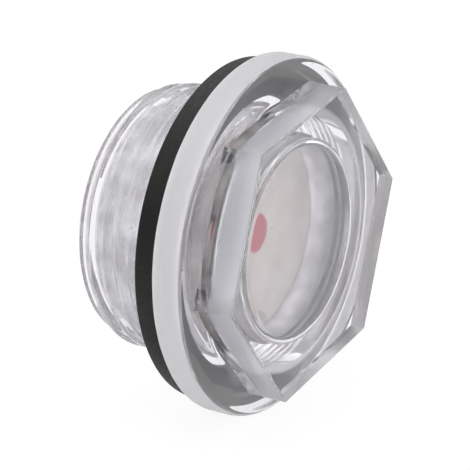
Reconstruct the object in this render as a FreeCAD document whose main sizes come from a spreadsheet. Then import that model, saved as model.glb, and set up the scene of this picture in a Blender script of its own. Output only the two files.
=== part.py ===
import FreeCAD, Part
import os
import Sketcher

# Oil level sight glass: a clear moulded plug with a hexagon head, a round flange and a
# threaded hollow shank, a black sealing ring behind the flange, and a pale reflector disc
# that shows through the window. The plug's axis lies along Y. The window faces -Y and the
# thread points to +Y. The origin is the centre of the sealing face, where the ring meets
# the wall that the plug is screwed into.

doc = FreeCAD.newDocument("oil_level_sight_glass")
Vector = FreeCAD.Vector

# Driving dimensions, in millimetres and degrees

DIMENSIONS = {
    "flangeDiameter": 36.0,
    "flangeThickness": 2.9,
    "flangeFrontChamfer": 0.5,
    "flangeRearChamfer": 0.2,
    "seatLandWidth": 1.4,         # flat rim of the seat, which presses on the ring
    "seatDish": 8.0,              # the seat inside the rim leans this much towards the window
    "hexAcrossFlats": 27.0,
    "hexHeight": 4.3,
    "hexTurn": 9.65,              # from +X up to the first corner, seen from the window
    "hexEdgeChamfer": 0.2,
    "windowThickness": 4.4,
    "boreDiameter": 20.5,
    "boreCornerRound": 0.8,
    "oilGap": 5.1,                # from the window's inner face to the reflector
    "rearBoreDiameter": 21.1,     # its step carries the reflector
    "rearBoreChamfer": 0.4,
    "neckLength": 2.0,            # relief between the flange and the thread
    "neckDepth": 1.0,             # below the thread's crests
    "threadDiameter": 27.0,       # over the crests
    "threadPitch": 1.5,
    "threadDepth": 0.85,
    "threadRootFlat": 0.25,
    "threadEndChamfer": 0.7,
    "pilotDiameter": 25.2,        # plain lead-in beyond the thread
    "pilotLength": 1.3,
    "pilotChamfer": 0.3,
    "shankReach": 9.8,            # from the sealing face to the rear end
    "ringThickness": 2.5,
    "ringDiameter": 34.4,
    "ringThreadClearance": 0.8,   # radial, as the ring's inner edge shows through the flange
    "reflectorThickness": 1.0,
    "reflectorClearance": 0.05,   # radial, between disc and rear bore
    "passageRadius": 2.2,         # notches that let oil and air past the disc
}

sizes = doc.addObject("Spreadsheet::Sheet", "sizes")
for row, (name, value) in enumerate(DIMENSIONS.items(), start=1):
    sizes.set("A%d" % row, name)
    sizes.set("B%d" % row, str(value))
    sizes.setAlias("B%d" % row, name)
doc.recompute()

# Places along the axis and from it, as expressions that all sub-parts share

FLANGE_SEAT = "-sizes.ringThickness"
FLANGE_FRONT = FLANGE_SEAT + " - sizes.flangeThickness"
WINDOW_FACE = FLANGE_FRONT + " - sizes.hexHeight"
BORE_FLOOR = WINDOW_FACE + " + sizes.windowThickness"
REFLECTOR_FACE = BORE_FLOOR + " + sizes.oilGap"
NECK_RADIUS = "sizes.threadDiameter / 2 - sizes.neckDepth"
LAND_RADIUS = "sizes.flangeDiameter / 2 - sizes.seatLandWidth"
DISH_FLOOR = FLANGE_SEAT + " - (%s - (%s)) * tan(sizes.seatDish * 1 deg)" % (LAND_RADIUS, NECK_RADIUS)
THREAD_START = FLANGE_SEAT + " + sizes.neckLength"
THREAD_END = "sizes.shankReach - sizes.pilotLength"
REAR_END = "sizes.shankReach"


def half(name):
    return "sizes.%s / 2" % name


def measure(expression):
    return float(sizes.evalExpression(expression))


# Bodies and sketches

def newBody(name):
    body = doc.addObject("PartDesign::Body", name)
    body.Label = name
    return body


def newSketch(body, name, role, offset=None):
    """Sketch on one of the body's own origin planes, moved along its normal."""
    plane = next(f for f in body.Origin.OriginFeatures if f.Role == role)
    sketch = body.newObject("Sketcher::SketchObject", name)
    sketch.AttachmentSupport = [(plane, "")]
    sketch.MapMode = "FlatFace"
    if offset:
        sketch.setExpression("AttachmentOffset.Base.z", offset)
    return sketch


def drive(sketch, constraint, expression):
    index = sketch.addConstraint(constraint)
    sketch.setExpression("Constraints[%d]" % index, expression)


def addCircle(sketch, radius):
    index = sketch.addGeometry(Part.Circle(Vector(), Vector(0, 0, 1), measure(radius)), False)
    sketch.addConstraint(Sketcher.Constraint("Coincident", index, 3, -1, 1))
    drive(sketch, Sketcher.Constraint("Radius", index, measure(radius)), radius)


def addOutline(sketch, corners):
    """Closed outline of straight lines, its corners given as radius and place on the axis."""
    points = [Vector(measure(radius), measure(place), 0) for radius, place in corners]
    count = len(points)
    for i in range(count):
        sketch.addGeometry(Part.LineSegment(points[i], points[(i + 1) % count]), False)
    for i in range(count):
        sketch.addConstraint(Sketcher.Constraint("Coincident", i, 2, (i + 1) % count, 1))
    for i, (radius, place) in enumerate(corners):
        drive(sketch, Sketcher.Constraint("DistanceX", -1, 1, i, 1, points[i].x), radius)
        drive(sketch, Sketcher.Constraint("DistanceY", -1, 1, i, 1, points[i].y), place)


def addHexagon(sketch):
    """Regular hexagon on a construction circle through its corners."""
    radius = "sizes.hexAcrossFlats / 2 / cos(30 deg)"
    circle = Part.Circle(Vector(), Vector(0, 0, 1), measure(radius))
    turn = measure("sizes.hexTurn")
    corners = []
    for i in range(6):
        spoke = FreeCAD.Rotation(Vector(0, 0, 1), turn + 60 * i)
        corners.append(spoke.multVec(Vector(circle.Radius, 0, 0)))
    for i in range(6):
        sketch.addGeometry(Part.LineSegment(corners[i], corners[(i + 1) % 6]), False)
    ring = sketch.addGeometry(circle, True)
    spoke = sketch.addGeometry(Part.LineSegment(Vector(), corners[0]), True)
    sketch.addConstraint(Sketcher.Constraint("Coincident", ring, 3, -1, 1))
    sketch.addConstraint(Sketcher.Constraint("Coincident", spoke, 1, -1, 1))
    sketch.addConstraint(Sketcher.Constraint("Coincident", spoke, 2, 0, 1))
    for i in range(6):
        sketch.addConstraint(Sketcher.Constraint("Coincident", i, 2, (i + 1) % 6, 1))
        sketch.addConstraint(Sketcher.Constraint("PointOnObject", i, 1, ring))
    for i in range(1, 6):
        sketch.addConstraint(Sketcher.Constraint("Equal", 0, i))
    drive(sketch, Sketcher.Constraint("Radius", ring, circle.Radius), radius)
    angle = Sketcher.Constraint("Angle", spoke, FreeCAD.Units.Quantity(turn, "deg").getValueAs("rad"))
    drive(sketch, angle, "sizes.hexTurn * 1 deg")


# Features

def pad(body, name, sketch, length, backwards=False):
    feature = body.newObject("PartDesign::Pad", name)
    feature.Profile = sketch
    feature.Reversed = backwards
    feature.setExpression("Length", length)
    doc.recompute()
    return feature


def revolve(body, name, sketch, kind="PartDesign::Revolution"):
    feature = body.newObject(kind, name)
    feature.Profile = sketch
    feature.ReferenceAxis = (sketch, ["V_Axis"])
    feature.Angle = 360
    doc.recompute()
    return feature


def roundEdges(body, name, radius, test, kind="PartDesign::Fillet"):
    """Rounds or chamfers the edges of the body so far for which the test holds."""
    base = body.Tip
    edges = ["Edge%d" % i for i, edge in enumerate(base.Shape.Edges, start=1) if test(edge)]
    feature = body.newObject(kind, name)
    feature.Base = (base, edges)
    feature.setExpression("Size" if kind == "PartDesign::Chamfer" else "Radius", radius)
    doc.recompute()
    return feature


def isRim(radius, place):
    """Test for a full circle about the axis with this radius, at this place on the axis."""
    wanted = (measure(radius), measure(place))

    def test(edge):
        if edge.Degenerated or not isinstance(edge.Curve, Part.Circle):
            return False
        centre = edge.Curve.Center
        found = (edge.Curve.Radius, centre.y)
        onAxis = Vector(centre.x, 0, centre.z).Length < 1e-6
        return onAxis and all(abs(a - b) < 1e-6 for a, b in zip(found, wanted))

    return test


# Clear body: flange, hexagon head, shank and the blind hollow behind the window

def threadGroove(body):
    """One groove with 60 degree flanks, wound right-handed from before the thread's start to past its end."""
    sketch = newSketch(body, "threadForm", "XY_Plane")
    root = half("threadDiameter") + " - sizes.threadDepth"
    mouth = half("threadDiameter") + " + sizes.threadDepth / 4"
    mouthHalf = "(sizes.threadRootFlat / 2 + sizes.threadDepth * 1.25 * tan(30 deg))"
    middle = THREAD_START + " - " + mouthHalf
    addOutline(sketch, [
        (root, middle + " - sizes.threadRootFlat / 2"),
        (root, middle + " + sizes.threadRootFlat / 2"),
        (mouth, middle + " + " + mouthHalf),
        (mouth, middle + " - " + mouthHalf),
    ])
    groove = body.newObject("PartDesign::SubtractiveHelix", "thread")
    groove.Profile = sketch
    groove.ReferenceAxis = (sketch, ["V_Axis"])
    groove.Mode = "pitch-height-angle"
    groove.setExpression("Pitch", "sizes.threadPitch")
    groove.setExpression("Height", "%s - (%s) + 2 * %s" % (THREAD_END, THREAD_START, mouthHalf))
    groove.Angle = 0
    groove.LeftHanded = False
    doc.recompute()


def sightGlassBody():
    body = newBody("sight_glass_body")

    flangeSketch = newSketch(body, "flangeOutline", "XZ_Plane", "sizes.ringThickness")
    addCircle(flangeSketch, half("flangeDiameter"))
    pad(body, "flange", flangeSketch, "sizes.flangeThickness")
    frontRim = isRim(half("flangeDiameter"), FLANGE_FRONT)
    rearRim = isRim(half("flangeDiameter"), FLANGE_SEAT)
    roundEdges(body, "frontChamfer", "sizes.flangeFrontChamfer", frontRim, "PartDesign::Chamfer")
    roundEdges(body, "rearChamfer", "sizes.flangeRearChamfer", rearRim, "PartDesign::Chamfer")

    dishSketch = newSketch(body, "dishOutline", "XY_Plane")
    addOutline(dishSketch, [
        ("0", DISH_FLOOR),
        (NECK_RADIUS, DISH_FLOOR),
        (LAND_RADIUS, FLANGE_SEAT),
        ("0", FLANGE_SEAT),
    ])
    revolve(body, "seatDish", dishSketch, "PartDesign::Groove")

    hexSketch = newSketch(body, "hexOutline", "XZ_Plane", "sizes.ringThickness + sizes.flangeThickness")
    addHexagon(hexSketch)
    pad(body, "hexHead", hexSketch, "sizes.hexHeight")
    front = measure(WINDOW_FACE)
    base = measure(FLANGE_FRONT)

    def isHexEdge(edge):
        places = [vertex.Point.y for vertex in edge.Vertexes]
        onFront = all(abs(place - front) < 1e-6 for place in places)
        return len(places) == 2 and min(places) < base - 1e-6 and (onFront or max(places) > front + 1e-6)

    roundEdges(body, "hexEdges", "sizes.hexEdgeChamfer", isHexEdge, "PartDesign::Chamfer")

    shankSketch = newSketch(body, "shankOutline", "XY_Plane")
    chamferFoot = half("threadDiameter") + " - sizes.threadEndChamfer"
    addOutline(shankSketch, [
        ("0", DISH_FLOOR),
        (NECK_RADIUS, DISH_FLOOR),
        (NECK_RADIUS, THREAD_START),
        (chamferFoot, THREAD_START),
        (half("threadDiameter"), THREAD_START + " + sizes.threadEndChamfer"),
        (half("threadDiameter"), THREAD_END + " - sizes.threadEndChamfer"),
        (chamferFoot, THREAD_END),
        (half("pilotDiameter"), THREAD_END),
        (half("pilotDiameter"), REAR_END + " - sizes.pilotChamfer"),
        (half("pilotDiameter") + " - sizes.pilotChamfer", REAR_END),
        ("0", REAR_END),
    ])
    revolve(body, "shank", shankSketch)
    threadGroove(body)

    hollowSketch = newSketch(body, "hollowOutline", "XY_Plane")
    addOutline(hollowSketch, [
        ("0", BORE_FLOOR),
        (half("boreDiameter"), BORE_FLOOR),
        (half("boreDiameter"), REFLECTOR_FACE),
        (half("rearBoreDiameter"), REFLECTOR_FACE),
        (half("rearBoreDiameter"), REAR_END),
        ("0", REAR_END),
    ])
    revolve(body, "hollow", hollowSketch, "PartDesign::Groove")
    roundEdges(body, "windowCorner", "sizes.boreCornerRound", isRim(half("boreDiameter"), BORE_FLOOR))
    mouth = isRim(half("rearBoreDiameter"), REAR_END)
    roundEdges(body, "mouthChamfer", "sizes.rearBoreChamfer", mouth, "PartDesign::Chamfer")
    return body


# Sealing ring: a flat rubber washer that lies against the flange, round the neck

def sealingRing():
    body = newBody("sealing_ring")
    outline = newSketch(body, "ringOutline", "XZ_Plane")
    addCircle(outline, half("ringDiameter"))
    addCircle(outline, half("threadDiameter") + " + sizes.ringThreadClearance")
    pad(body, "washer", outline, "sizes.ringThickness")
    return body


# Reflector: a thin pale disc on the step of the rear bore, notched at the top and bottom

def reflectorDisc():
    body = newBody("reflector_disc")
    radius = half("rearBoreDiameter") + " - sizes.reflectorClearance"
    outline = newSketch(body, "discOutline", "XZ_Plane", "-(%s)" % REFLECTOR_FACE)
    addCircle(outline, radius)
    pad(body, "disc", outline, "sizes.reflectorThickness", backwards=True)

    notchSketch = newSketch(body, "notchOutline", "XZ_Plane", "-(%s)" % REFLECTOR_FACE)
    notch = Part.Circle(Vector(0, measure(radius), 0), Vector(0, 0, 1), measure("sizes.passageRadius"))
    notchSketch.addGeometry(notch, False)
    notchSketch.addConstraint(Sketcher.Constraint("PointOnObject", 0, 3, -2))
    drive(notchSketch, Sketcher.Constraint("DistanceY", -1, 1, 0, 3, measure(radius)), radius)
    drive(notchSketch, Sketcher.Constraint("Radius", 0, notch.Radius), "sizes.passageRadius")
    cut = body.newObject("PartDesign::Pocket", "notch")
    cut.Profile = notchSketch
    cut.Reversed = False
    cut.Type = "ThroughAll"
    doc.recompute()
    pattern = body.newObject("PartDesign::PolarPattern", "notches")
    pattern.Originals = [cut]
    pattern.Axis = (notchSketch, ["N_Axis"])
    pattern.Angle = 360
    pattern.Occurrences = 2
    body.Tip = pattern
    doc.recompute()
    return body


nodes = [sightGlassBody(), sealingRing(), reflectorDisc()]

# Every object must have recomputed, and every sub-part must be one sound solid

doc.recompute()
for item in doc.Objects:
    if {"Invalid", "Error"} & set(item.State):
        raise RuntimeError("%s did not recompute: %s" % (item.Label, item.State))
for node in nodes:
    if node.Shape.isNull() or not node.Shape.isValid() or len(node.Shape.Solids) != 1:
        raise RuntimeError("%s is not one valid solid" % node.Label)
    print("%-18s %9.2f mm3" % (node.Label, node.Shape.Volume))

os.makedirs("parts", exist_ok=True)
for node in nodes:
    node.Shape.exportStep("parts/%s.step" % node.Label)
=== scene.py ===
import bmesh
import bpy
import numpy as np
from mathutils import Matrix, Vector


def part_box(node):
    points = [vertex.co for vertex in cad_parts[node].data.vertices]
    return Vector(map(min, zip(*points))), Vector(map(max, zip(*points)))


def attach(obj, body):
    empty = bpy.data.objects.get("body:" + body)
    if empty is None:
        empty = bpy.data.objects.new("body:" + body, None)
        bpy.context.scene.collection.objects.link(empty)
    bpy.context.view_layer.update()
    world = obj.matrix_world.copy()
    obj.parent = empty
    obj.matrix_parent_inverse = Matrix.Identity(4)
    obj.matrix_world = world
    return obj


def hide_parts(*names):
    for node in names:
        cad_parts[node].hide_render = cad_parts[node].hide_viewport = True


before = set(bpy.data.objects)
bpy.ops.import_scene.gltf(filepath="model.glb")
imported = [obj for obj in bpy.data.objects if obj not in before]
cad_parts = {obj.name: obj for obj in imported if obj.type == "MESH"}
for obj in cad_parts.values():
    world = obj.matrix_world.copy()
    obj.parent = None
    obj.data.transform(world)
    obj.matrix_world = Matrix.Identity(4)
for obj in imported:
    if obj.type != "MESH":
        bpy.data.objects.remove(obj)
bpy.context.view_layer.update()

# The plug's axis is Y: the window faces -Y, the thread points to +Y, and y is 0 at the sealing face.
# Shapes are worked out in millimetres and turned to metres where a mesh is made.

mm = 0.001
bodyLow, bodyHigh = (np.array(corner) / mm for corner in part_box("sight_glass_body"))
ringLow, ringHigh = (np.array(corner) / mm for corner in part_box("sealing_ring"))
discLow, discHigh = (np.array(corner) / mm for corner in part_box("reflector_disc"))
print("frame loaded, nodes", sorted(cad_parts))


# Profiles and grids
# A grid holds rows of points round the axis: grid[row, column] = (distance from the axis, place along it)

mergeDistance = 0.0002    # mm, points closer than this are one
sharpTurn = 35            # degrees between two faces from which their edge is sharp


def roundsOf(profile, turns):
    # surface of revolution: each profile point repeated at every turn
    return np.repeat(np.array(profile, float)[:, None, :], len(turns), axis=1)


def quarter(radius, centreR, centreY, startTurn, endTurn, steps):
    # arc in the half-plane through the axis: centre plus radius times (cosine, sine) of an even angle
    a = np.radians(np.linspace(startTurn, endTurn, steps + 1))
    return list(zip(centreR + radius * np.cos(a), centreY + radius * np.sin(a)))


def line(start, end, shares):
    # points on the straight line from start to end at the given shares of its length
    return [(start[0] * (1 - s) + end[0] * s, start[1] * (1 - s) + end[1] * s) for s in shares]


def gridMesh(name, turns, grid, seam=None, poles=None):
    # point = (r cos t, y, r sin t); neighbours make quads, and the last column joins the first, where
    # row k meets row seam[k]; poles are the places on the axis that close the first and last row, and
    # without them the last row joins the first, as on a ring
    rows, columns = grid.shape[:2]
    seam = np.arange(rows) if seam is None else seam
    r, y = grid[..., 0], grid[..., 1]
    points = np.stack([r * np.cos(turns), y, r * np.sin(turns)], axis=2).reshape(-1, 3)
    index = np.arange(rows * columns).reshape(rows, columns)
    wide = np.concatenate([index, index[seam, :1]], axis=1)
    if poles is None:
        wide = np.concatenate([wide, wide[:1]], axis=0)
    quads = np.stack([wide[:-1, :-1], wide[1:, :-1], wide[1:, 1:], wide[:-1, 1:]], axis=2).reshape(-1, 4)
    faces = quads.tolist()
    if poles is not None:
        points = np.vstack([points, [[0, poles[0], 0], [0, poles[1], 0]]])
        pole = np.full(columns, rows * columns)
        faces += np.stack([wide[0, :-1], wide[0, 1:], pole], axis=1).tolist()
        faces += np.stack([wide[-1, 1:], wide[-1, :-1], pole + 1], axis=1).tolist()
    mesh = bpy.data.meshes.new(name)
    mesh.from_pydata((points * mm).tolist(), [], faces)
    shell = bmesh.new()
    shell.from_mesh(mesh)
    bmesh.ops.remove_doubles(shell, verts=shell.verts, dist=mergeDistance * mm)
    shell.to_mesh(mesh)
    shell.free()
    mesh.polygons.foreach_set("use_smooth", np.ones(len(mesh.polygons), bool))
    mesh.set_sharp_from_angle(angle=np.radians(sharpTurn))
    piece = bpy.data.objects.new(name, mesh)
    bpy.context.scene.collection.objects.link(piece)
    print(name, "has", sum(len(face.vertices) - 2 for face in mesh.polygons), "triangles")
    return piece


# Clear body
# Shares say where rows of points lie on the way from one edge to the next

body = {
    "turnStep": 1.0,              # degrees between columns of points
    "cornerTurns": (0.15, 0.3, 0.45, 0.6, 0.9),   # degrees to both sides of a corner, with closer columns
    "cornerGap": 0.12,            # degrees, even columns nearer than this to a close one are left out
    "flangeRadius": bodyHigh[0],
    "flangeSeat": ringLow[1],
    "flangeThickness": 2.9,
    "frontRound": 0.7,
    "frontSteps": 10,             # faces across a rounded edge
    "frontShares": (0.3, 0.6, 0.95),
    "rearRound": 0.22,
    "rearSteps": 5,
    "rearWander": 0.35,           # share by which the rear edge's rounding varies round the rim
    "rearWaves": (3, 7, 13, 29, 47),
    "flashPlace": ringLow[1] - 1.1,   # parting line of the mould, on the flange's side
    "flashStray": 0.12,
    "flashStrayWaves": (2, 5, 9, 17, 31),
    "flashHeight": 0.03,
    "flashHeightWaves": (4, 11, 23, 37, 61, 83),
    "flashWidth": 0.07,
    "flashSteps": (-0.30, -0.12, -0.05, 0, 0.05, 0.12, 0.30),
    "landWidth": 1.4,             # flat rim of the seat
    "landShares": (0.3, 0.97),
    "dishTurns": (45, 9, 11.5),   # degrees that the seat leans, at these distances from the axis
    "dishPlaces": (13.0, 13.4, 16.6),
    "dishRows": 29,
    "hexFlat": 13.5,              # axis to flat
    "hexFront": bodyLow[1],
    "hexTurn": 9.65,              # degrees to the first corner
    "hexRound": 0.2,
    "hexSteps": 4,
    "hexShares": (0.06, 0.35, 0.7, 1.0),
    "faceShares": (0.2, 0.45, 0.7, 0.9, 0.993),
    "windowThickness": 4.4,
    "windowShares": (0.02, 0.25, 0.5, 0.75),
    "boreRadius": 10.25,
    "boreRound": 0.8,
    "boreSteps": 12,
    "boreShares": (0.05, 0.35, 0.65, 0.95),
    "reflectorStep": discLow[1] - 0.02,   # a hair in front of the disc, so that light passes between them
    "rearBoreRadius": 10.55,
    "rearBoreChamfer": 0.4,
    "mouthShares": (0, 0.5, 1),
    "neckRadius": 12.5,
    "neckShares": (0.1, 0.5, 1),
    "threadStart": ringLow[1] + 2.0,
    "threadEnd": bodyHigh[1] - 1.3,
    "threadRadius": 13.5,
    "threadPitch": 1.5,
    "threadDepth": 0.85,
    "threadRootFlat": 0.25,
    "threadEdge": 0.03,           # half width of the flats that break the crest's edges
    "crestShare": 0.4,            # of the way from a crest's middle to its edge
    "threadChamfer": 0.7,
    "crestPlace": 1.05,           # where a crest crosses the turn 0
    "pilotRadius": 12.6,
    "pilotChamfer": 0.3,
    "rearEnd": bodyHigh[1],
}
body["flangeFront"] = body["flangeSeat"] - body["flangeThickness"]
body["sideRadius"] = body["flangeRadius"] - body["flashHeight"]
body["boreFloor"] = body["hexFront"] + body["windowThickness"]
body["threadFlank"] = body["threadDepth"] * np.tan(np.pi / 6)
body["threadCrest"] = (body["threadPitch"] - body["threadRootFlat"]) / 2 - body["threadFlank"]


def bodyTurns():
    # even steps round the axis, with closer ones at the hexagon's corners
    even = np.arange(0, 360, body["turnStep"])
    oneSide = np.array(body["cornerTurns"])
    near = np.concatenate([-oneSide[::-1], [0], oneSide])
    corners = body["hexTurn"] + 60 * np.arange(6)
    close = (corners[:, None] + near[None, :]).ravel() % 360
    away = np.abs((even[:, None] - close[None, :] + 180) % 360 - 180).min(axis=1)
    return np.radians(np.sort(np.concatenate([even[away > body["cornerGap"]], close])))


def hexReach(turns, flat, rounding):
    # axis to a rounded hexagon: flat / cos(angle from the flat's middle), and near a corner the far
    # crossing of the ray with the corner's circle
    fromCorner = (turns - np.radians(body["hexTurn"]) + np.pi / 6) % (np.pi / 3) - np.pi / 6
    fromFlat = np.pi / 6 - np.abs(fromCorner)
    centre = (flat - rounding) / np.cos(np.pi / 6)
    limit = np.arctan((flat - rounding) * np.tan(np.pi / 6) / flat)
    inside = np.maximum(rounding ** 2 - (centre * np.sin(fromCorner)) ** 2, 0)
    corner = centre * np.cos(fromCorner) + np.sqrt(inside)
    return np.where(fromFlat > limit, corner, flat / np.cos(fromFlat))


def wander(turns, waves):
    # smooth, uneven curve round the rim, -1 to 1: sum over each number w of whole waves of
    # sin(w * turn + 1.7 w squared) / (1 + 0.05 w), divided by its own greatest height
    total = sum(np.sin(w * turns + 1.7 * w * w) / (1 + 0.05 * w) for w in waves)
    return total / np.abs(total).max()


def headRows(turns):
    # the flat window face, its rounded edge, the six sides and the flange's front
    b = body
    q = b["hexRound"]
    front, foot = b["hexFront"], b["flangeFront"]
    face = hexReach(turns, b["hexFlat"] - q, 0)
    side = hexReach(turns, b["hexFlat"], q)
    edge = b["sideRadius"] - b["frontRound"]
    rows = [(face * s, front) for s in b["faceShares"]]
    for a in np.radians(np.linspace(0, 90, b["hexSteps"] + 1)):
        inset = q * (1 - np.sin(a))
        rows.append((hexReach(turns, b["hexFlat"] - inset, q - inset), front + q * (1 - np.cos(a))))
    rows += [(side, front * (1 - s) + foot * s) for s in b["hexShares"]]
    rows += [(side * (1 - s) + edge * s, foot) for s in b["frontShares"]]
    return np.stack([np.stack([r + 0 * turns, y + 0 * turns], axis=1) for r, y in rows])


def flangeRows(turns):
    # rounded front edge, side with the mould's parting line, uneven rear edge, flat land, dished seat
    # and neck; the parting line is a bead of height exp(-(distance / width) squared), wandering in
    # place and height round the rim; the seat drops by tan(lean) for each step towards the axis
    b = body
    q = b["frontRound"]
    front = quarter(q, b["sideRadius"] - q, b["flangeFront"] + q, -90, 0, b["frontSteps"])
    flash = b["flashPlace"] + b["flashStray"] * wander(turns, b["flashStrayWaves"])
    height = b["flashHeight"] * (1 + wander(turns, b["flashHeightWaves"])) / 2
    steps = np.array(b["flashSteps"])[:, None]
    bead = height * np.exp(-(steps / b["flashWidth"]) ** 2)
    side = np.stack([b["sideRadius"] + bead, flash + steps], axis=2)
    q = b["rearRound"] * (1 + b["rearWander"] * wander(turns, b["rearWaves"]))
    a = np.radians(np.linspace(0, 90, b["rearSteps"] + 1))[:, None]
    rear = np.stack([b["sideRadius"] - q * (1 - np.cos(a)), b["flangeSeat"] - q * (1 - np.sin(a))], axis=2)
    land = (b["flangeRadius"] - b["landWidth"], b["flangeSeat"])
    r = np.linspace(land[0], b["neckRadius"], b["dishRows"])
    lean = np.interp(r, b["dishPlaces"], b["dishTurns"])
    drops = np.append(0, np.cumsum(np.tan(np.radians(lean[1:] + lean[:-1]) / 2) * (r[:-1] - r[1:])))
    inner = line((b["flangeRadius"], b["flangeSeat"]), land, b["landShares"])
    inner += list(zip(r, b["flangeSeat"] - drops))
    neck = (b["neckRadius"], b["flangeSeat"] - drops[-1])
    inner += line(neck, (b["neckRadius"], b["threadStart"]), b["neckShares"])
    return np.concatenate([roundsOf(front, turns), side, rear, roundsOf(inner, turns)])


def threadReach(turns, y):
    # right-handed thread: s is the distance along the axis from the nearest crest's middle, and the
    # reach falls from the crest to the root down a flank of 30 degrees; cones of 45 degrees end it
    b = body
    helix = y - b["crestPlace"] + b["threadPitch"] * turns / (2 * np.pi)
    s = (helix + b["threadPitch"] / 2) % b["threadPitch"] - b["threadPitch"] / 2
    fall = np.clip((np.abs(s) - b["threadCrest"]) / b["threadFlank"], 0, 1)
    fromEnd = np.minimum(y - b["threadStart"], b["threadEnd"] - y)
    return b["threadRadius"] - np.maximum(b["threadDepth"] * fall, b["threadChamfer"] - fromEnd)


def threadRows(turns):
    # rows that follow the helix, y = crest place + offset - pitch * turn / 360 degrees, held between
    # the thread's two ends; one turn on, each row meets the row one pitch before it
    b = body
    crest, e = b["threadCrest"], b["threadEdge"]
    root = crest + b["threadFlank"]
    half = [b["crestShare"] * crest, crest - e, crest + e, (crest + root) / 2, root - e, root + e]
    offsets = np.array([-h for h in reversed(half)] + half)
    first = int(np.floor((b["threadStart"] - b["crestPlace"]) / b["threadPitch"])) - 1
    last = int(np.ceil((b["threadEnd"] - b["crestPlace"]) / b["threadPitch"])) + 2
    crests = b["crestPlace"] + b["threadPitch"] * np.arange(first, last + 1)
    starts = (crests[:, None] + offsets[None, :]).ravel()
    y = starts[:, None] - b["threadPitch"] * turns[None, :] / (2 * np.pi)
    y = np.clip(y, b["threadStart"], b["threadEnd"])
    return np.stack([threadReach(turns, y), y], axis=2), len(offsets)


def rearRows(turns):
    # plain lead-in, rear end and the hollow's mouth, down to the reflector's step
    b = body
    q = b["pilotChamfer"]
    c = b["rearBoreChamfer"]
    outer = [(b["pilotRadius"], b["threadEnd"]), (b["pilotRadius"], b["rearEnd"] - q)]
    outer += [(b["pilotRadius"] - q, b["rearEnd"]), (b["rearBoreRadius"] + c, b["rearEnd"])]
    mouth = (b["rearBoreRadius"], b["rearEnd"] - c)
    wall = line(mouth, (b["rearBoreRadius"], b["reflectorStep"]), b["mouthShares"])
    return roundsOf(outer + wall + [(b["boreRadius"], b["reflectorStep"])], turns)


def boreRows(turns):
    # wall of the bore, its rounded corner and the window's inner face
    b = body
    q = b["boreRound"]
    corner = (b["boreRadius"], b["boreFloor"] + q)
    wall = line((b["boreRadius"], b["reflectorStep"]), corner, b["boreShares"])
    bend = quarter(q, b["boreRadius"] - q, b["boreFloor"] + q, 0, -90, b["boreSteps"])
    face = line((b["boreRadius"] - q, b["boreFloor"]), (0, b["boreFloor"]), b["windowShares"])
    return roundsOf(wall + bend + face, turns)


def clearBody():
    # all rows from the window's middle over the outside to the window's inner middle, and at the seam
    # the thread's rows join one pitch on
    turns = bodyTurns()
    before = np.concatenate([headRows(turns), flangeRows(turns)])
    thread, rowsPerTurn = threadRows(turns)
    grid = np.concatenate([before, thread, rearRows(turns), boreRows(turns)])
    seam = np.arange(len(grid))
    first = len(before)
    inThread = slice(first, first + len(thread))
    seam[inThread] = np.maximum(seam[inThread] - rowsPerTurn, first)
    return gridMesh("sight_glass_clear", turns, grid, seam, (body["hexFront"], body["boreFloor"]))


clearPiece = clearBody()
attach(clearPiece, "root")
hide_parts("sight_glass_body")


# Sealing ring

ring = {
    "turnStep": 1.5,              # degrees between columns of points
    "outerRadius": ringHigh[0],
    "innerRadius": 14.1,
    "front": ringLow[1] + 0.05,   # the seat is moulded, so it bears on the ring at few points
    "back": ringHigh[1],
    "edgeRound": 0.25,
    "edgeSteps": 6,
    "innerShares": (0, 0.5, 0.95),
    "slopeShares": (0.03, 0.5, 1),
    "flatStart": 16.2,            # inside this distance from the axis the front slopes away from the seat
    "slopeDepth": 0.95,
    "sideWander": 0.03,           # how far the soft side strays from a true circle
    "sideWaves": (2, 5, 11, 17),
}


def sealingRing():
    # outline of the section, with a sloping front inside and rounded edges outside, round the axis
    b = ring
    turns = np.radians(np.arange(0, 360, b["turnStep"]))
    q = b["edgeRound"]
    edge = (b["innerRadius"], b["front"] + b["slopeDepth"])
    section = line((b["innerRadius"], b["back"]), edge, b["innerShares"])
    section += line(edge, (b["flatStart"], b["front"]), b["slopeShares"])
    section += quarter(q, b["outerRadius"] - q, b["front"] + q, -90, 0, b["edgeSteps"])
    section += quarter(q, b["outerRadius"] - q, b["back"] - q, 0, 90, b["edgeSteps"])
    grid = roundsOf(section, turns)
    outside = grid[..., 0] > b["outerRadius"] - q / 2
    grid[..., 0] -= outside * b["sideWander"] * (1 + wander(turns, b["sideWaves"])) / 2
    return gridMesh("sealing_ring_moulded", turns, grid)


ringPiece = sealingRing()
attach(ringPiece, "root")
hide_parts("sealing_ring")


# Materials
# Soft patches are given as (size in mm, detail, lowest level, highest level) of the noise that makes them

def linear(hexColour):
    # sRGB hex to the linear values that the shaders take
    c = [int(hexColour[i:i + 2], 16) / 255 for i in (1, 3, 5)]
    return [v / 12.92 if v <= 0.04045 else ((v + 0.055) / 1.055) ** 2.4 for v in c] + [1.0]


def newTree(name):
    material = bpy.data.materials.new(name)
    material.use_nodes = True
    material.node_tree.nodes.clear()
    return material, material.node_tree


def addNode(tree, kind, inputs=None, **settings):
    # one node with its settings; each input takes a value, another node's output, or a node, which
    # stands for its first output
    node = tree.nodes.new("ShaderNode" + kind)
    for key, value in settings.items():
        setattr(node, key, value)
    for key, value in (inputs or {}).items():
        if isinstance(value, bpy.types.Node):
            value = value.outputs[0]
        if isinstance(value, bpy.types.NodeSocket):
            tree.links.new(value, node.inputs[key])
        else:
            node.inputs[key].default_value = value
    return node


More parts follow.
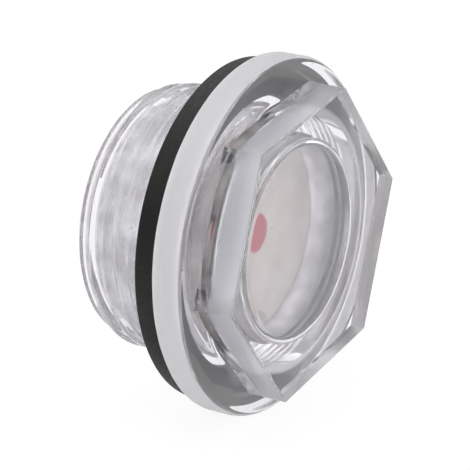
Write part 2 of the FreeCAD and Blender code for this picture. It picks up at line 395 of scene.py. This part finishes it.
def placeOnPiece(tree):
    # the place on the piece, its part along the axis, and its distance from the axis
    place = addNode(tree, "TexCoord").outputs["Object"]
    parts = addNode(tree, "SeparateXYZ", {0: place}).outputs
    across = addNode(tree, "CombineXYZ", {"X": parts["X"], "Z": parts["Z"]})
    reach = addNode(tree, "VectorMath", {0: across}, operation="LENGTH").outputs["Value"]
    return place, parts["Y"], reach


def softPatches(tree, place, patches, low=0.0, high=1.0):
    # noise whose levels between the two given ones are spread from low to high
    size, detail, start, end = patches
    noise = addNode(tree, "TexNoise", {"Vector": place, "Scale": 1 / (size * mm), "Detail": detail})
    spread = {"Value": noise, "From Min": start, "From Max": end, "To Min": low, "To Max": high}
    return addNode(tree, "MapRange", spread)


def insideBands(tree, along, start, bands):
    # 1 inside any of the bands, each given as mm past the start, and 0 between them
    total = 0.0
    for low, high in bands:
        middle, half = start + (low + high) / 2, (high - low) / 2
        band = addNode(tree, "Math", {0: along, 1: middle * mm, 2: half * mm}, operation="COMPARE")
        total = addNode(tree, "Math", {0: total, 1: band}, operation="ADD")
    return total


acrylic = {
    "tint": "#faf9fc",
    "satinShadeTint": "#dddee4",       # painted shade: satin places scatter some of the light away, and this grey-blue tint paints that in
    "wallShadeTints": ("#b7b4bb", "#efeef3"),   # painted shade: lilac-grey on the bore's wall, lighter and darker in random patches
    "wallPatches": (3.0, 4.0, 0.38, 0.62),
    "cornerShadeTint": "#2e2e31",        # painted shade: dark bands near the bore's corner, standing in for the dark that its rounded corner shows
    "cornerShadeBands": ((0.15, 1.3), (1.75, 2.15)),   # mm from the window's inner face
    "cornerShadePatches": (6.0, 3.0, 0.3, 0.55),
    "cornerShadeLeast": 0.3,             # share of the painted shade's darkness where it is faintest
    "index": 1.49,                # of acrylic
    "clear": 0.95,                # share of light that passes clean, the rest is haze
    "rimClear": 0.35,             # on the flange's satin side
    "roughness": 0.05,
    "wallRoughness": 0.75,        # spark-eroded wall of the bore
    "wallPolished": ((0, 1.35), (1.65, 1.85)),   # mm from the window's inner face, bands left clear
    "headRoughness": 0.25,        # satin sides of the head, where the mould wasn't polished
    "rimRoughness": 0.5,          # and of the flange
    "headClear": 1.1,             # mm of the head's sides next to the flange that are clear
    "headFade": 0.5,              # mm over which that changes
    "wallReach": 0.5,             # mm past the bore's radius that still count as its wall
    "rimDepth": 0.3,              # mm from the rim that count as the flange's side
    "faceDepth": 0.1,             # mm that the satin places keep off the window's two faces
    "fleckCell": 0.9,             # mm between flecks
    "fleckRadius": 0.14,          # mm
    "fleckDepth": 0.04,           # mm
    "fleckStart": 9.0,            # mm from the axis, the window's middle has none
    "fleckPatches": (7.0, 3.0, 0.5, 0.62),
    "wavesSize": 3.0,             # mm, slow waves from shrinkage
    "wavesDepth": 0.004,          # mm
}


def clearAcrylic():
    # Moulded acrylic: clear and glossy with a faint milky haze and shallow waves where it shrank, satin
    # sides where the mould wasn't polished, tinted grey-blue as painted shade, and in the bore a matt wall,
    # because the mould's core was spark-eroded, tinted lilac-grey in patches as painted shade, with dark
    # bands of painted shade near its corner
    b = acrylic
    material, tree = newTree("clear moulded acrylic")
    place, along, reach = placeOnPiece(tree)

    wallEnd = (body["boreRadius"] + b["wallReach"]) * mm
    nearAxis = addNode(tree, "Math", {0: reach, 1: wallEnd}, operation="LESS_THAN")
    wallStart = (body["boreFloor"] + b["faceDepth"]) * mm
    deep = addNode(tree, "Math", {0: along, 1: wallStart}, operation="GREATER_THAN")
    wall = addNode(tree, "Math", {0: nearAxis, 1: deep}, operation="MULTIPLY")
    polished = insideBands(tree, along, body["boreFloor"], b["wallPolished"])
    wall = addNode(tree, "Math", {0: wall, 1: polished}, operation="SUBTRACT", use_clamp=True)
    rimStart = (body["flangeRadius"] - b["rimDepth"]) * mm
    rim = addNode(tree, "Math", {0: reach, 1: rimStart}, operation="GREATER_THAN")
    headStart = (body["hexFront"] + b["faceDepth"]) * mm
    behindFace = addNode(tree, "Math", {0: along, 1: headStart}, operation="GREATER_THAN")
    clearStart = body["flangeFront"] - b["headClear"]
    fade = {"From Min": (clearStart - b["headFade"]) * mm, "From Max": (clearStart + b["headFade"]) * mm}
    beforeClear = addNode(tree, "MapRange", {"Value": along, **fade, "To Min": 1.0, "To Max": 0.0})
    head = addNode(tree, "Math", {0: behindFace, 1: beforeClear}, operation="MULTIPLY")

    rough = b["roughness"]
    for mask, more in ((wall, b["wallRoughness"]), (head, b["headRoughness"]), (rim, b["rimRoughness"])):
        rough = addNode(tree, "Math", {0: mask, 1: more, 2: rough}, operation="MULTIPLY_ADD")
    lessClear = {0: rim, 1: b["rimClear"] - b["clear"], 2: b["clear"]}
    clear = addNode(tree, "Math", lessClear, operation="MULTIPLY_ADD")

    # painted shade: dark bands near the bore's corner, patchy in strength
    cornerShade = insideBands(tree, along, body["boreFloor"], b["cornerShadeBands"])
    for mask in (nearAxis, softPatches(tree, place, b["cornerShadePatches"], low=b["cornerShadeLeast"])):
        cornerShade = addNode(tree, "Math", {0: cornerShade, 1: mask}, operation="MULTIPLY")
    # painted shade: lilac-grey tint on the bore's wall, lighter and darker in random patches
    darker, lighter = (linear(colour) for colour in b["wallShadeTints"])
    patches = softPatches(tree, place, b["wallPatches"])
    wallShade = addNode(tree, "Mix", {0: patches, 6: darker, 7: lighter}, data_type="RGBA").outputs[2]
    tint = linear(b["tint"])
    # the satin sides' grey-blue, the wall's lilac-grey and the corner's dark bands are painted shade in the
    # tint
    for mask, colour in ((head, linear(b["satinShadeTint"])), (wall, wallShade), (cornerShade, linear(b["cornerShadeTint"]))):
        tint = addNode(tree, "Mix", {0: mask, 6: tint, 7: colour}, data_type="RGBA").outputs[2]

    waves = addNode(tree, "TexNoise", {"Vector": place, "Scale": 1 / (b["wavesSize"] * mm)})
    cells = addNode(tree, "TexVoronoi", {"Vector": place, "Scale": 1 / (b["fleckCell"] * mm)})
    fleckEnd = b["fleckRadius"] / b["fleckCell"]
    flecks = addNode(tree, "MapRange", {"Value": cells, "From Max": fleckEnd, "To Min": 1.0, "To Max": 0.0})
    fleckStart = b["fleckStart"] * mm
    outer = addNode(tree, "Math", {0: reach, 1: fleckStart}, operation="GREATER_THAN")
    for mask in (softPatches(tree, place, b["fleckPatches"]), outer):
        flecks = addNode(tree, "Math", {0: flecks, 1: mask}, operation="MULTIPLY")
    dents = {0: flecks, 1: b["fleckDepth"] / b["wavesDepth"], 2: waves}
    height = addNode(tree, "Math", dents, operation="MULTIPLY_ADD")
    bump = addNode(tree, "Bump", {"Strength": 1.0, "Distance": b["wavesDepth"] * mm, "Height": height})

    shader = addNode(tree, "BsdfPrincipled", {
        "Base Color": tint, "IOR": b["index"], "Transmission Weight": clear,
        "Roughness": rough, "Normal": bump})
    addNode(tree, "OutputMaterial", {"Surface": shader})
    return material


rubber = {
    "colour": "#0f0f0e",
    "worn": "#1c1c1a",
    "bloomPatches": (4.0, 3.0, 0.45, 0.7),
    "index": 1.52,
    "specular": 0.3,
    "roughness": (0.47, 0.65),    # in the grain's hollows and on its tops
    "grain": 0.35,                # mm
    "grainDetail": 3.0,
    "grainLevels": (0.3, 0.7),
    "grainDepth": 0.012,          # mm
}


def blackRubber():
    # Moulded nitrile rubber: near black and matt, with a fine grain and a greyer bloom in patches
    b = rubber
    material, tree = newTree("black nitrile rubber")
    place = addNode(tree, "TexCoord").outputs["Object"]
    bloom = softPatches(tree, place, b["bloomPatches"])
    colours = {6: linear(b["colour"]), 7: linear(b["worn"])}
    colour = addNode(tree, "Mix", {0: bloom, **colours}, data_type="RGBA").outputs[2]
    fine = {"Scale": 1 / (b["grain"] * mm), "Detail": b["grainDetail"]}
    grain = addNode(tree, "TexNoise", {"Vector": place, **fine})
    rough = addNode(tree, "MapRange", {
        "Value": grain, "From Min": b["grainLevels"][0], "From Max": b["grainLevels"][1],
        "To Min": b["roughness"][0], "To Max": b["roughness"][1]})
    bump = addNode(tree, "Bump", {"Strength": 1.0, "Distance": b["grainDepth"] * mm, "Height": grain})
    shader = addNode(tree, "BsdfPrincipled", {
        "Base Color": colour, "IOR": b["index"], "Specular IOR Level": b["specular"],
        "Roughness": rough, "Normal": bump})
    addNode(tree, "OutputMaterial", {"Surface": shader})
    return material


reflector = {
    "colour": "#f3ebe5",
    "shade": "#e4dad4",
    "clouds": (5.0, 3.0, 0.4, 0.65),
    "dot": "#cf3356",
    "dotRadius": 2.0,             # mm
    "dotEdge": 0.12,              # mm over which the print fades
    "dotRagged": 0.25,            # mm that its edge strays, all told
    "dotRaggedSize": 0.5,         # mm along the edge
    "dotRaggedDetail": 3.0,
    "stain": "#8d8983",
    "stainPlace": (-3.2, 0, -4.0),   # mm, middle of a faint oil stain
    "stainReach": 2.2,            # mm
    "stainPatches": (1.6, 3.0, 0.35, 0.65),
    "grain": 0.4,                 # mm
    "grainLevels": (0.3, 0.7),
    "grainDepth": 0.004,          # mm
    "roughness": (0.38, 0.5),     # in the grain's hollows and on its tops
}


def printedReflector():
    # White moulded disc with a pad-printed red dot: satin, with soft clouds and a slightly ragged print
    b = reflector
    material, tree = newTree("off-white disc with red print")
    place, _, reach = placeOnPiece(tree)
    clouds = softPatches(tree, place, b["clouds"])

    fine = {"Scale": 1 / (b["dotRaggedSize"] * mm), "Detail": b["dotRaggedDetail"]}
    ragged = addNode(tree, "TexNoise", {"Vector": place, **fine})
    strayed = addNode(tree, "Math", {0: ragged, 1: b["dotRagged"] * mm, 2: reach}, operation="MULTIPLY_ADD")
    dotEnd = b["dotRadius"] + b["dotRagged"] / 2
    dot = addNode(tree, "MapRange", {
        "Value": strayed, "From Min": (dotEnd + b["dotEdge"]) * mm, "From Max": (dotEnd - b["dotEdge"]) * mm})

    middle = tuple(v * mm for v in b["stainPlace"])
    away = addNode(tree, "VectorMath", {0: place, 1: middle}, operation="DISTANCE").outputs["Value"]
    near = addNode(tree, "MapRange", {"Value": away, "From Min": b["stainReach"] * mm, "From Max": 0.0})
    patchy = softPatches(tree, place, b["stainPatches"])
    stain = addNode(tree, "Math", {0: near, 1: patchy}, operation="MULTIPLY")

    colour = linear(b["colour"])
    for mask, shade in ((clouds, b["shade"]), (dot, b["dot"]), (stain, b["stain"])):
        colour = addNode(tree, "Mix", {0: mask, 6: colour, 7: linear(shade)}, data_type="RGBA").outputs[2]
    grain = addNode(tree, "TexNoise", {"Vector": place, "Scale": 1 / (b["grain"] * mm)})
    rough = addNode(tree, "MapRange", {
        "Value": grain, "From Min": b["grainLevels"][0], "From Max": b["grainLevels"][1],
        "To Min": b["roughness"][0], "To Max": b["roughness"][1]})
    bump = addNode(tree, "Bump", {"Strength": 1.0, "Distance": b["grainDepth"] * mm, "Height": grain})
    shader = addNode(tree, "BsdfPrincipled", {"Base Color": colour, "Roughness": rough, "Normal": bump})
    addNode(tree, "OutputMaterial", {"Surface": shader})
    return material


clearPiece.data.materials.append(clearAcrylic())
ringPiece.data.materials.append(blackRubber())
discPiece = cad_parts["reflector_disc"]
discPiece.data.materials.clear()
discPiece.data.materials.append(printedReflector())
print("materials made")


# Camera, fitted to the photograph's outlines

view = {
    "place": (-196.37, -124.36, 81.49),       # mm
    "towards": (-0.79708, -0.50340, 0.33354),   # from the part to the camera
    "lens": 190.47,
    "sensor": 36,
    "nearest": 10,                # mm, what is closer isn't drawn
}


def photoCamera():
    # the camera's axes are its right side, the upright across the view, and the line back to it
    back = Vector(view["towards"]).normalized()
    right = Vector((0, 0, 1)).cross(back).normalized()
    turn = Matrix((right, back.cross(right), back)).transposed().to_4x4()
    data = bpy.data.cameras.new("photo camera")
    data.sensor_width = view["sensor"]
    data.lens = view["lens"]
    data.clip_start = view["nearest"] * mm
    holder = bpy.data.objects.new("photo_camera", data)
    holder.matrix_world = Matrix.Translation(Vector(view["place"]) * mm) @ turn
    bpy.context.scene.collection.objects.link(holder)
    return holder


bpy.context.scene.camera = photoCamera()


# Floor, surroundings and lamp

stage = {
    "floorPlace": bodyLow[2],
    "floorHalf": 3000.0,
    "floorShown": 0.8,            # share of the floor that is plain white, the rest keeps the shadow
    "seen": 1.1,                  # brightness of the white background
    "plain": 0.85,                # level that lights the matt surfaces
    "between": 0.2,               # strength between the panels
    "panelPower": 10,             # the higher, the smaller and harder a panel
    "panels": (                   # softboxes that clear plastic shows: azimuth, elevation, strength
        (32, 8, 0.5), (212, 8, 2.0), (257, 8, 0.85), (302, 8, 1.5), (10, 45, 0.45), (55, 45, 1.6),
        (100, 45, 0.85), (190, 45, 2.0), (235, 45, 2.0), (280, 45, 2.0), (325, 45, 2.0), (0, 90, 2.0)),
    "lampPlace": (-100, 50, 500),
    "lampSize": 250,
    "lampPower": 0.3,             # watts
    "bounces": 32,                # light crosses many walls of the clear plastic
    "glossBounces": 16,
}


def paleFloor():
    # matt white board: what the camera, gloss and clear plastic see of it is mostly plain white, and
    # the rest takes a light shadow
    half, z = stage["floorHalf"] * mm, stage["floorPlace"] * mm
    corners = [(-half, -half, z), (half, -half, z), (half, half, z), (-half, half, z)]
    mesh = bpy.data.meshes.new("floor")
    mesh.from_pydata(corners, [], [(0, 1, 2, 3)])
    board = bpy.data.objects.new("floor", mesh)
    bpy.context.scene.collection.objects.link(board)
    material, tree = newTree("white board")
    showing = 0.0
    path = addNode(tree, "LightPath").outputs
    for ray in ("Is Glossy Ray", "Is Transmission Ray", "Is Camera Ray"):
        showing = addNode(tree, "Math", {0: showing, 1: path[ray]}, operation="MAXIMUM")
    share = addNode(tree, "Math", {0: showing, 1: stage["floorShown"]}, operation="MULTIPLY")
    matt = addNode(tree, "BsdfDiffuse", {"Color": linear("#ffffff")})
    glow = addNode(tree, "Emission", {"Strength": stage["seen"]})
    surface = addNode(tree, "MixShader", {0: share, 1: matt, 2: glow})
    addNode(tree, "OutputMaterial", {"Surface": surface})
    mesh.materials.append(material)


def lightTent():
    # plain for matt surfaces and white behind the object, and gloss and clear plastic also show its
    # panels, each strength * (cosine of the angle to the panel's middle) to a power
    world = bpy.data.worlds.new("light tent")
    world.use_nodes = True
    tree = world.node_tree
    tree.nodes.clear()
    path = addNode(tree, "LightPath").outputs
    gloss, through = path["Is Glossy Ray"], path["Is Transmission Ray"]
    sharp = addNode(tree, "Math", {0: gloss, 1: through}, operation="MAXIMUM")
    direction = addNode(tree, "TexCoord").outputs["Generated"]
    panels = stage["between"]
    for azimuth, elevation, strength in stage["panels"]:
        a, e = np.radians(azimuth), np.radians(elevation)
        middle = (float(np.cos(a) * np.cos(e)), float(np.sin(a) * np.cos(e)), float(np.sin(e)))
        facing = addNode(tree, "VectorMath", {0: direction, 1: middle}, operation="DOT_PRODUCT")
        ahead = addNode(tree, "Math", {0: facing.outputs["Value"], 1: 0.0}, operation="MAXIMUM")
        soft = addNode(tree, "Math", {0: ahead, 1: stage["panelPower"]}, operation="POWER")
        panels = addNode(tree, "Math", {0: soft, 1: strength, 2: panels}, operation="MULTIPLY_ADD")
    lit = addNode(tree, "Mix", {0: sharp, 2: stage["plain"], 3: panels}, data_type="FLOAT")
    shown = addNode(tree, "Mix", {0: path["Is Camera Ray"], 2: lit, 3: stage["seen"]}, data_type="FLOAT")
    background = addNode(tree, "Background", {"Strength": shown})
    addNode(tree, "OutputWorld", {"Surface": background})
    bpy.context.scene.world = world


def topSoftbox():
    # square softbox, turned to the object
    data = bpy.data.lights.new("top_softbox", "AREA")
    data.size = stage["lampSize"] * mm
    data.energy = stage["lampPower"]
    holder = bpy.data.objects.new("top_softbox", data)
    place = Vector(stage["lampPlace"]) * mm
    holder.matrix_world = Matrix.Translation(place) @ place.to_track_quat("Z", "Y").to_matrix().to_4x4()
    bpy.context.scene.collection.objects.link(holder)


paleFloor()
lightTent()
topSoftbox()

scene = bpy.context.scene
scene.view_settings.view_transform = "Standard"
scene.cycles.max_bounces = stage["bounces"]
scene.cycles.transmission_bounces = stage["bounces"]
scene.cycles.glossy_bounces = stage["glossBounces"]
print("camera, stage and light made")
